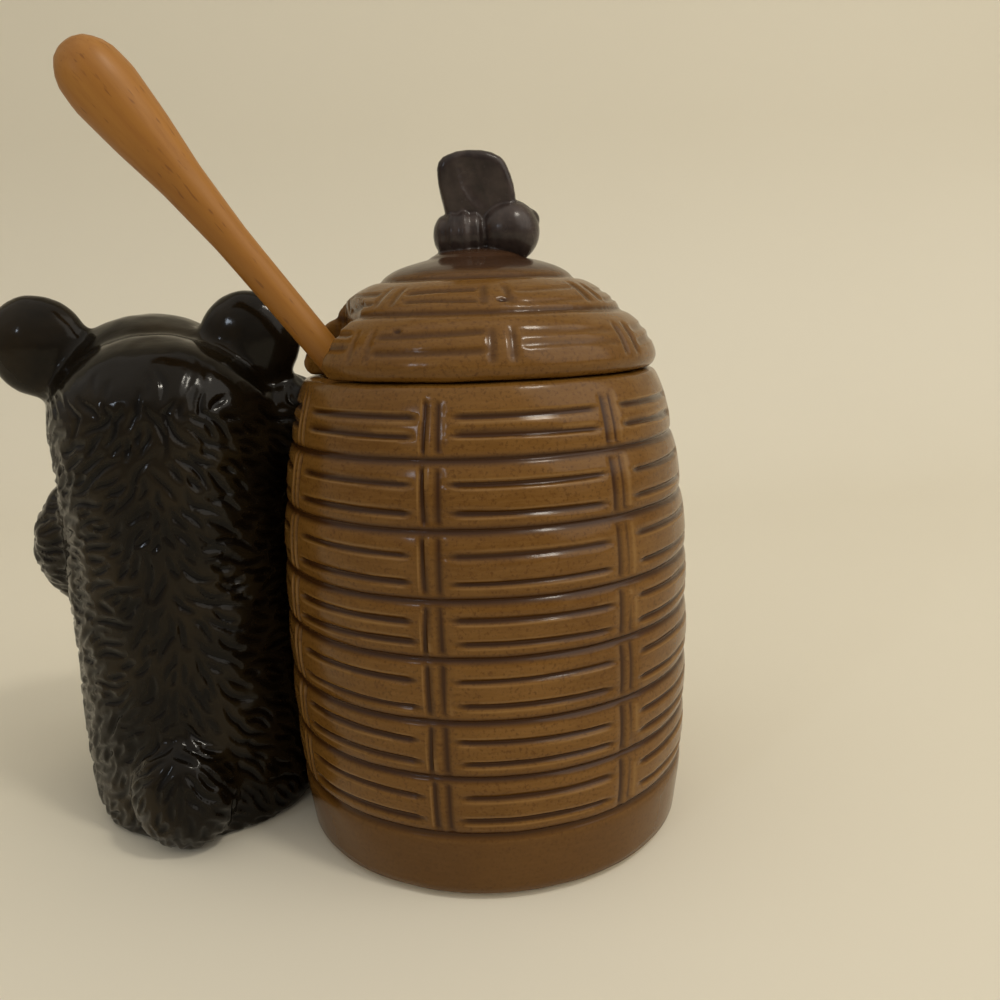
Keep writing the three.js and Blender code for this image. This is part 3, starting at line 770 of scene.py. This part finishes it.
rings = []
for place in np.linspace(0, len(body_rings) - 1, 56):
    rise, wide, deep, forward = (float(value) for value in curve_point(body_rings, place))
    y = body_y + forward * half_depth
    rings.append((rise * back_height, wide * half_width, deep * half_depth, y))
print(f"the body rises {rings[-1][0]:.0f} mm and is {2 * max(r[1] for r in rings):.0f} mm wide")

# %% [markdown]
# Each limb is a row of balls along a curve, close enough to read as one tapering form. A Skin
# modifier would do it too, but its joints are hard to steer. The ovals of the body are extruded
# one from another and scaled about their own middle.

# %% Limbs and ovals
def limb(name, path, radii, steps=14):
    """Balls along a smooth curve through the path, each as wide as the limb is there."""
    beads = []
    stops = np.array([(*centre, radius) for centre, radius in zip(path, radii)])
    for step in range(steps + 1):
        *centre, radius = curve_point(stops, step / steps * (len(path) - 1))
        beads.append(ball(name, centre, (2 * radius, 2 * radius, 2 * radius), 24, 16))
    return beads


def oval_stack(name, rings):
    """Ovals extruded one from another, each given by height, half width, half depth and y."""
    let_go()
    bpy.ops.mesh.primitive_circle_add(vertices=72, radius=1, fill_type="NGON")
    piece = bpy.context.object
    piece.name = name
    height, wide, deep, y = rings[0]
    piece.scale = (wide * MM, deep * MM, 1)
    piece.location = (body_x * MM, y * MM, height * MM)
    settle(piece)
    bpy.ops.object.mode_set(mode="EDIT")
    bpy.ops.mesh.select_all(action="SELECT")
    for below, ring in zip(rings, rings[1:]):
        shift = (0, (ring[3] - below[3]) * MM, (ring[0] - below[0]) * MM)
        bpy.ops.mesh.extrude_region_move(TRANSFORM_OT_translate={"value": shift})
        bpy.ops.transform.resize(
            value=(ring[1] / below[1], ring[2] / below[2], 1),
            center_override=(body_x * MM, ring[3] * MM, ring[0] * MM),
        )
    bpy.ops.mesh.select_all(action="SELECT")
    bpy.ops.mesh.normals_make_consistent(inside=False)
    bpy.ops.object.mode_set(mode="OBJECT")
    return piece


bear_parts = [oval_stack("bear_body", rings)]
print("the bear's body has", len(bear_parts[0].data.polygons), "faces")

# %% [markdown]
# Head, ears, soles, muzzle and tail are balls. Its right arm lies round the hive and its left
# hand in its lap. All forms are joined, one voxel skin fuses them, and the ears get their cups
# after it, which a coarse skin would close again.

# %% Head, limbs and one skin
foot_x = 15.6


def on_bear(across, forward, rise):
    y = body_y + forward * half_depth
    return Vector((body_x + across * half_width, y, rise * back_height))


def ear_place(side, forward):
    x = skull.x + side * ear_reach * math.cos(ear_rise)
    return (x, forward, skull.z + ear_reach * math.sin(ear_rise))


bear_parts.append(ball("skull", skull, (49, 44, 49)))
for side in (-1, 1):
    bear_parts.append(ball("ear", ear_place(side, 5), (22, 12.4, 22)))
    leg = ((10.4, 10), (17.2, 23.75), (foot_x, 36.25))
    leg_path = [Vector((body_x + side * x, y, 12.95)) for x, y in leg]
    bear_parts += limb("leg", leg_path, (11, 12.65, 9.4))
    bear_parts.append(ball("sole", (body_x + side * foot_x, 45, 10.8), (17.8, 9, 21)))
right_arm = [(0.35, 0.1, 0.68), (0.9, 0.1, 0.81), (1.05, 0.85, 0.7), (1.35, 1.4, 0.6)]
left_arm = [(-0.55, -0.05, 0.73), (-0.95, 0.15, 0.57), (-0.9, 0.8, 0.41), (-0.55, 1.2, 0.35)]
for shares in (right_arm, left_arm):
    bear_parts += limb("arm", [on_bear(*place) for place in shares], (6.7, 10.9, 8.1, 8))
bear_parts.append(ball("muzzle", (skull.x, 32.1, 80.1), (21, 30, 17)))
bear_parts.append(ball("tail", (-64.9, -19, 12.3), (22, 17, 24)))
bear = join(bear_parts, "bear")
voxel_skin(bear, voxel=0.9, smoothing=12)
for side in (-1, 1):
    cup = ball("ear_cup", ear_place(side, 11.2), (13.5, 8, 13.5))
    apply_modifier(bear, "BOOLEAN", operation="DIFFERENCE", object=cup, solver="EXACT")
    bpy.data.objects.remove(cup)
count(bear)

# %% [markdown]
# The real bear is pressed against the pot, so it may enter the wall a little, but never the
# pot's inside or the space in which the lid rises. A turned core with that outline is cut out
# of it, and a finer voxel skin rounds the cut and is dense enough for the fur.

# %% Keep the bear clear of the inside of the pot and of the lid
press_in, lid_way = 0.9, 38.4
keep_out = [(0, -4), (39, -4)]
keep_out += [(float(hive_radius(z)) - press_in, float(z)) for z in np.linspace(0, pot_height, 16)]
keep_out += [(lid_way, 98), (lid_way, 200), (0, 200)]
hive_core = draw_outline("hive_core", keep_out)
spin_closed(hive_core, [(96, 2 * math.pi)])
apply_modifier(bear, "BOOLEAN", operation="DIFFERENCE", object=hive_core, solver="EXACT")
bpy.data.objects.remove(hive_core)
voxel_skin(bear, voxel=0.5, smoothing=2)
uneven(bear, size=13, amount=1.1)
stand_flat(bear)
count(bear)

# %% [markdown]
# The fur is combed into the clay with a pointed tool. Hair curves would be far too fine for it,
# and a noise has no direction, so it is drawn stroke by stroke. Each stroke follows the lie of
# the hair: down from the spine and outwards, nearly level beside the hive, and backwards over
# the head from the nose.

# %% Lie of the hair
muzzle_tip = Vector((skull.x, 45, 80))
spine_x, spine_reach = -64, 13


def lie_of_hair(point, normal):
    """The direction in which the hair lies at a point of the skin."""
    on_face = point.z > 70 and point.y > 16 and abs(point.x - skull.x) < 24
    if point.z > 92 or on_face:
        return (point - muzzle_tip).normalized() + Vector((0, 0, -0.35))
    aside = max(-1.0, min(1.0, (point.x - spine_x) / spine_reach))
    level = math.exp(-(((point.z - 55) / 34) ** 2))
    slope = math.radians(14 + abs(aside) * (24 + 46 * level))
    outward = Vector((0, 0, 1)).cross(normal)
    if outward.length < 0.05:
        return Vector((aside, 0, -0.2))
    outward.normalize()
    if outward.x * aside < 0:
        outward = -outward
    return outward * math.sin(slope) - Vector((0, 0, 1)) * math.cos(slope)


def fur_here(point):
    """Fur on the body and limbs, less of it on the nape, none on crown, ears and soles."""
    if point.z < 1.2 or point.y > 45 or point.z > 100:
        return 0
    if point.z > 90 and abs(point.x - skull.x) > 20 and point.x < -40:
        return 0
    if math.hypot(point.x, point.y) < float(hive_radius(min(point.z, 97))) - 0.2:
        return 0
    if point.y > 28 and point.z > 68 and abs(point.x - skull.x) < 13:
        return 0
    return min(1, max(0, (100 - point.z) / 8))


print("fur on the back:", fur_here(Vector((-67, -20, 60))), "on the crown:", fur_here(skull * 1.2))

# %% [markdown]
# A stroke starts at a free place, walks both ways along the lie of the hair, and stops before it
# runs into its neighbour. Strokes put down at random would cross and clot. This keeps them
# evenly spaced, as a comb does.

# %% Combing
class Spacing:
    """Remembers where strokes run, in cells as wide as their least distance."""

    def __init__(self, distance):
        self.distance, self.cells = distance, {}

    def cell(self, point):
        return tuple(int(math.floor(value / self.distance)) for value in point)

    def add(self, path):
        for point in path:
            self.cells.setdefault(self.cell(point), []).append(point)

    def is_free(self, point):
        x, y, z = self.cell(point)
        for i in (x - 1, x, x + 1):
            for j in (y - 1, y, y + 1):
                for k in (z - 1, z, z + 1):
                    for other in self.cells.get((i, j, k), ()):
                        if (other - point).length < self.distance:
                            return False
        return True


def comb_fur(skin, direction, wanted, tries, gap, length, half_width):
    """Combs strokes wherever wanted(point) gives more than 0, which is also their strength."""
    spacing, stride, shortest, made = Spacing(gap), 0.4, 3.6, 0
    for _ in range(tries):
        start = comb.randrange(skin.size)
        point = skin.points[start]
        strength = wanted(point)
        if strength <= 0 or not spacing.is_free(point):
            continue
        reach = length * comb.uniform(0.6, 1.3)
        back = skin.walk(start, lambda p, n: -direction(p, n), reach * 0.4, stride, spacing.is_free)
        onwards = skin.walk(start, direction, reach * 0.6, stride, spacing.is_free)
        path = back[::-1] + [point] + onwards
        if len(path) * stride < shortest:
            continue
        spacing.add(path[::2])
        skin.paint(path, half_width * comb.uniform(0.85, 1.15), strength * comb.uniform(0.7, 1))
        made += 1
    return made


skin = Skin(bear)
stroke_count = comb_fur(
    skin, lie_of_hair, fur_here, tries=30000, gap=1.3, length=13, half_width=0.98
)
for side in (-1, 1):
    for toe in (-1, 0, 1):
        x, y = body_x + side * foot_x + toe * 3.6, 48.8 - abs(toe) * 0.4
        skin.paint([Vector((x, y, 15 + 0.4 * step)) for step in range(14)], 0.8, 1)
mouth = [Vector((skull.x, 47, 78 - 0.4 * step)) for step in range(14)]
skin.paint([skin.points[skin.tree.find(point)[1]] for point in mouth], 0.6, 1)
fur_cuts = np.array(skin.weights)
carve(bear, fur_cuts, depth=0.65)
keep_attribute(bear, "pooled", fur_cuts)
print(f"fur: {stroke_count} strokes")

# %% [markdown]
# The skin has more than 200,000 triangles, too many for one piece. Thinning it would blur the
# fur, so it is bisected at the waist into two closed pieces that meet face to face.

# %% Two halves
BEAR_NODES = (
    "bear_torso", "bear_head", "bear_ear_right", "bear_ear_left", "bear_muzzle",
    "bear_arm_right", "bear_arm_left", "bear_leg_right", "bear_leg_left",
    "bear_foot_right", "bear_foot_left", "bear_tail",
)


def cut_at(piece, height, keep_upper):
    hold(piece)
    bpy.ops.object.mode_set(mode="EDIT")
    bpy.ops.mesh.select_all(action="SELECT")
    bpy.ops.mesh.bisect(
        plane_co=(0, 0, height * MM), plane_no=(0, 0, 1), use_fill=True,
        clear_inner=keep_upper, clear_outer=not keep_upper,
    )
    bpy.ops.object.mode_set(mode="OBJECT")
    bpy.ops.object.shade_smooth_by_angle(angle=math.radians(55))


waist = 58
hold(bear)
bpy.ops.object.duplicate()
bear_lower = bpy.context.object
bear_lower.name, bear.name = "bear_lower", "bear_upper"
cut_at(bear, waist, True)
cut_at(bear_lower, waist, False)
for piece in (bear, bear_lower):
    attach(piece, "pot")
    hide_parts(*BEAR_NODES)
    count(piece)

# %% [markdown]
# Eyes and nose are small balls of clay that were stuck on, and stand out by about half. They
# stay pieces of their own, since a voxel skin would swallow most of them.

# %% Eyes and nose
eyes = []
for side, name in ((-1, "left"), (1, "right")):
    eye = ball(f"eye_{name}", (skull.x + side * 8.5, 31.4, 92), (4.4, 4.2, 4.4))
    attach(eye, "pot")
    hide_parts(f"bear_eye_{name}")
    eyes.append(eye)
nose = ball("nose", (skull.x, 44.8, 84.6), (8, 5.4, 5.4))
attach(nose, "pot")
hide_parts("bear_nose")
print(len(eyes), "eyes and a nose")

# %% [markdown]
# Glazes and wood come from nodes. Pictures would need unwrapped surfaces and show seams, while
# nodes read object coordinates, in metres, so a noise of scale 50 makes patches of about 20 mm.
# A small helper adds nodes and links them in one line each.

# %% Node helper
class Finish:
    """A material whose nodes are added one after another."""

    def __init__(self, name):
        self.material = bpy.data.materials.new(name)
        self.material.use_nodes = True
        self.tree = self.material.node_tree
        self.shader = self.tree.nodes["Principled BSDF"]
        self.place = self.node("ShaderNodeTexCoord").outputs["Object"]

    def node(self, kind, links=None, **settings):
        node = self.tree.nodes.new(kind)
        for key, value in settings.items():
            setattr(node, key, value)
        for key, value in (links or {}).items():
            socket = node.inputs[key]
            if isinstance(value, bpy.types.NodeSocket):
                self.tree.links.new(value, socket)
            else:
                socket.default_value = value
        return node

    def noise(self, scale, detail=2.0, roughness=0.5, place=None):
        links = {"Vector": place or self.place, "Scale": scale}
        links |= {"Detail": detail, "Roughness": roughness}
        return self.node("ShaderNodeTexNoise", links).outputs["Fac"]

    def stretched(self, place, scale, turn=(0, 0, 0)):
        """Coordinates turned and scaled: a pattern comes out long where the scale is small."""
        links = {"Vector": place, "Rotation": turn, "Scale": scale}
        return self.node("ShaderNodeMapping", links).outputs["Vector"]

    def between(self, value, low, high, out_low=0.0, out_high=1.0):
        """0 at low and 1 at high, or the two given values."""
        links = {"Value": value, "From Min": low, "From Max": high}
        links |= {"To Min": out_low, "To Max": out_high}
        return self.node("ShaderNodeMapRange", links).outputs["Result"]

    def mix(self, share, first, second):
        """Colour first where share is 0 and second where it is 1."""
        node = self.node("ShaderNodeMix", data_type="RGBA")
        for index, value in ((0, share), (6, first), (7, second)):
            socket = node.inputs[index]
            if isinstance(value, bpy.types.NodeSocket):
                self.tree.links.new(value, socket)
            elif index == 0:
                socket.default_value = value
            else:
                socket.default_value = (*value, 1)
        return node.outputs[2]

    def bump(self, height, strength, distance):
        links = {"Height": height, "Strength": strength, "Distance": distance * MM}
        normal = self.node("ShaderNodeBump", links).outputs["Normal"]
        self.tree.links.new(normal, self.shader.inputs["Normal"])

    def colour(self, value):
        self.tree.links.new(value, self.shader.inputs["Base Color"])

    def roughness(self, value):
        self.tree.links.new(value, self.shader.inputs["Roughness"])

    def shine(self, level):
        self.shader.inputs["Specular IOR Level"].default_value = level

    def cover(self, *pieces):
        for piece in pieces:
            piece.data.materials.clear()
            piece.data.materials.append(self.material)
        print(self.material.name, "on", ", ".join(piece.name for piece in pieces))


# %% [markdown]
# The amber glaze is a thin glass over buff clay. It is lighter where it runs thin on the crests,
# nearly black-brown where it pools in the cuts, finely speckled, and absent from the last
# millimetre of the foot, which was wiped clean so that the pot would not stick in the kiln. A
# clear coat over brown would give a milky veil, so one shader with a low shine is used.

# %% Amber glaze
amber = Finish("amber_glaze")
patches = amber.between(amber.noise(38, 3), 0.35, 0.68)
base = amber.mix(patches, (0.126, 0.055, 0.009), (0.166, 0.077, 0.015))
level_place = amber.stretched(amber.place, (1, 1, 6))
streaks = amber.between(amber.noise(240, 3, 0.6, level_place), 0.42, 0.72, 0, 0.3)
base = amber.mix(streaks, base, (0.22, 0.112, 0.029))
speckle = amber.between(amber.noise(1500, 2, 0.6), 0.52, 0.7, 0, 0.6)
base = amber.mix(speckle, base, (0.075, 0.029, 0.005))
pooled = amber.node("ShaderNodeAttribute", attribute_name="pooled").outputs["Fac"]
base = amber.mix(amber.between(pooled, -0.15, -0.85, 0, 0.5), base, (0.28, 0.152, 0.046))
base = amber.mix(amber.between(pooled, 0.1, 0.8), base, (0.044, 0.016, 0.003))
height = amber.node("ShaderNodeSeparateXYZ", {"Vector": amber.place}).outputs["Z"]
crown = amber.between(height, 115.6 * MM, 117.8 * MM, 0, 0.95)
base = amber.mix(crown, base, (0.042, 0.020, 0.011))
foot_band = amber.between(height, 14.6 * MM, 12.6 * MM, 0, 0.6)
base = amber.mix(foot_band, base, (0.088, 0.038, 0.008))
wiped = amber.between(height, 1.1 * MM, 0.8 * MM)
base = amber.mix(wiped, base, (0.62, 0.53, 0.42))
amber.colour(base)
amber.roughness(amber.between(wiped, 0, 1, 0.2, 0.75))
amber.bump(amber.noise(420, 2), 0.25, 0.1)
amber.shine(0.22)
amber.cover(hive, lid)

# %% [markdown]
# The bear's glaze is a dense black that thins to olive brown on the crests of the fur. The bee's
# is a dark purple-brown, greyer where it is thin. One black for both would hide the bee's ribs,
# so each gets a finish of its own.

# %% Black glaze and bee glaze
black = Finish("black_glaze")
thin = black.between(black.noise(55, 3), 0.4, 0.7)
base = black.mix(thin, (0.007, 0.0048, 0.0024), (0.022, 0.0145, 0.006))
pooled = black.node("ShaderNodeAttribute", attribute_name="pooled").outputs["Fac"]
base = black.mix(black.between(pooled, 0.1, 0.7), base, (0.003, 0.002, 0.0012))
black.colour(base)
black.roughness(black.between(black.noise(120, 2), 0.3, 0.7, 0.1, 0.2))
black.bump(black.noise(420, 3), 0.4, 0.14)
black.shine(0.16)
black.cover(bear, bear_lower, nose, *eyes)

bee_brown = Finish("bee_glaze")
thin = bee_brown.between(bee_brown.noise(160, 3, 0.6), 0.35, 0.7)
base = bee_brown.mix(thin, (0.016, 0.010, 0.009), (0.060, 0.043, 0.037))
bee_brown.colour(base)
bee_brown.roughness(bee_brown.between(bee_brown.noise(260, 2), 0.3, 0.7, 0.16, 0.3))
bee_brown.shine(0.28)
bee_brown.bump(bee_brown.noise(520, 3), 0.4, 0.12)
bee_brown.cover(bee)

# %% [markdown]
# Beech has a straight, fine grain. Rings of a Wave texture would suit oak or pine better. Turning
# the coordinates so that Z runs along the stick, and shrinking them along it, draws a noise out
# into long fibres, and the short dark flecks that beech has come from a second, shorter noise.

# %% Beech
beech = Finish("beech")
upright = stick_axis.rotation_difference(Vector((0, 0, 1))).to_euler()
turned = beech.stretched(beech.place, (1, 1, 1), upright)
fibre_place = beech.stretched(turned, (1, 1, 0.04))
fleck_place = beech.stretched(turned, (1, 1, 0.16))
fibres = beech.noise(900, 4, 0.6, fibre_place)
bands = beech.noise(160, 2, 0.5, fibre_place)
base = beech.mix(beech.between(bands, 0.35, 0.65), (0.29, 0.119, 0.018), (0.355, 0.153, 0.026))
base = beech.mix(beech.between(fibres, 0.45, 0.75, 0, 0.4), base, (0.23, 0.083, 0.013))
flecks = beech.between(beech.noise(1500, 1, 0.5, fleck_place), 0.66, 0.74, 0, 0.6)
base = beech.mix(flecks, base, (0.15, 0.05, 0.01))
beech.colour(base)
beech.roughness(beech.between(fibres, 0.3, 0.7, 0.36, 0.52))
beech.bump(fibres, 0.3, 0.08)
beech.shine(0.3)
beech.cover(dipper)

# %% [markdown]
# The pot stands on a pale sheet that also rises behind it. Two planes would show a line where
# they meet, so the far edge of one plane is extruded upwards and the corner bevelled round.

# %% Floor and backdrop
let_go()
bpy.ops.mesh.primitive_plane_add(size=4)
floor = bpy.context.object
floor.name = "floor"
wall_y, wall_height, corner = 0.55, 2.5, 0.25
for vertex in floor.data.vertices:
    if vertex.co.y > 0:
        vertex.co.y = wall_y
hold_edges(floor, lambda a, b: min(a.y, b.y) > 0.5)
bpy.ops.mesh.select_mode(type="EDGE")
bpy.ops.mesh.extrude_region_move(TRANSFORM_OT_translate={"value": (0, 0, wall_height)})
bevel_edges(
    floor, lambda a, b: min(a.y, b.y) > 0.5 and max(a.z, b.z) < 0.1, corner, segments=12
)
bpy.ops.object.shade_smooth()
pale = Finish("pale_sheet")
pale.colour(pale.mix(pale.noise(3, 2), (0.71, 0.66, 0.54), (0.75, 0.70, 0.58)))
pale.shader.inputs["Roughness"].default_value = 0.7
pale.cover(floor)
floor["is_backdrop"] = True
print("floor and backdrop:", len(floor.data.polygons), "faces")

# %% [markdown]
# The light is plain: a room that grows brighter towards its ceiling, a broad soft light from
# the right, and a small lamp and a small cool window that leave points of light on the glaze.
# Lamps alone would leave the glaze's sides black, since gloss shows what stands around it. Past
# the sheet's edge the camera sees the colour of a pale far wall, which lights nothing.

# %% Light
world = bpy.data.worlds.new("room")
bpy.context.scene.world = world
world.use_nodes = True
room, link = world.node_tree.nodes, world.node_tree.links.new
direction, split = room.new("ShaderNodeTexCoord"), room.new("ShaderNodeSeparateXYZ")
rise = room.new("ShaderNodeMapRange")
rise.interpolation_type = "SMOOTHSTEP"
for name, value in (("From Min", -0.1), ("From Max", 1), ("To Min", 0.25), ("To Max", 0.85)):
    rise.inputs[name].default_value = value
link(direction.outputs["Generated"], split.inputs["Vector"])
link(split.outputs["Z"], rise.inputs["Value"])
link(rise.outputs["Result"], room["Background"].inputs["Strength"])
room["Background"].inputs["Color"].default_value = (1, 0.95, 0.86, 1)
far_wall, seen = room.new("ShaderNodeBackground"), room.new("ShaderNodeMixShader")
far_wall.inputs["Color"].default_value = (0.62, 0.57, 0.47, 1)
link(room.new("ShaderNodeLightPath").outputs["Is Camera Ray"], seen.inputs[0])
link(room["Background"].outputs["Background"], seen.inputs[1])
link(far_wall.outputs["Background"], seen.inputs[2])
link(seen.outputs["Shader"], room["World Output"].inputs["Surface"])


def softbox(name, place, size, power, colour):
    let_go()
    bpy.ops.object.light_add(type="AREA", location=place)
    lamp = bpy.context.object
    lamp.name = name
    lamp.data.shape = "RECTANGLE"
    lamp.data.size, lamp.data.size_y = size
    lamp.data.energy = power
    lamp.data.color = colour
    target = Vector((-0.02, 0, 0.06))
    lamp.rotation_euler = (target - lamp.location).to_track_quat("-Z", "Y").to_euler()


softbox("window", (-0.62, -0.75, 0.42), (0.06, 0.06), 0.5, (0.75, 0.86, 1))
softbox("lamp", (0.38, -0.34, 0.85), (0.1, 0.1), 1.7, (1, 0.94, 0.82))
softbox("key", (1.2, -0.6, 0.9), (1.4, 1.4), 8, (1, 0.95, 0.86))
lamps = [item for item in bpy.context.scene.objects if item.type == "LIGHT"]
print("lamps:", ", ".join(f"{lamp.name} {lamp.data.energy:.1f} W" for lamp in lamps))

bpy.context.scene.view_settings.view_transform = "Standard"

# %% [markdown]
# At the end the visible model's box is measured and printed. Carving only presses in, so it should
# lie close to the box of the imported model.

# %% Measure and print the visual box
low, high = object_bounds()
print("visual box", [round(v / MM, 1) for v in (*low, *high)])
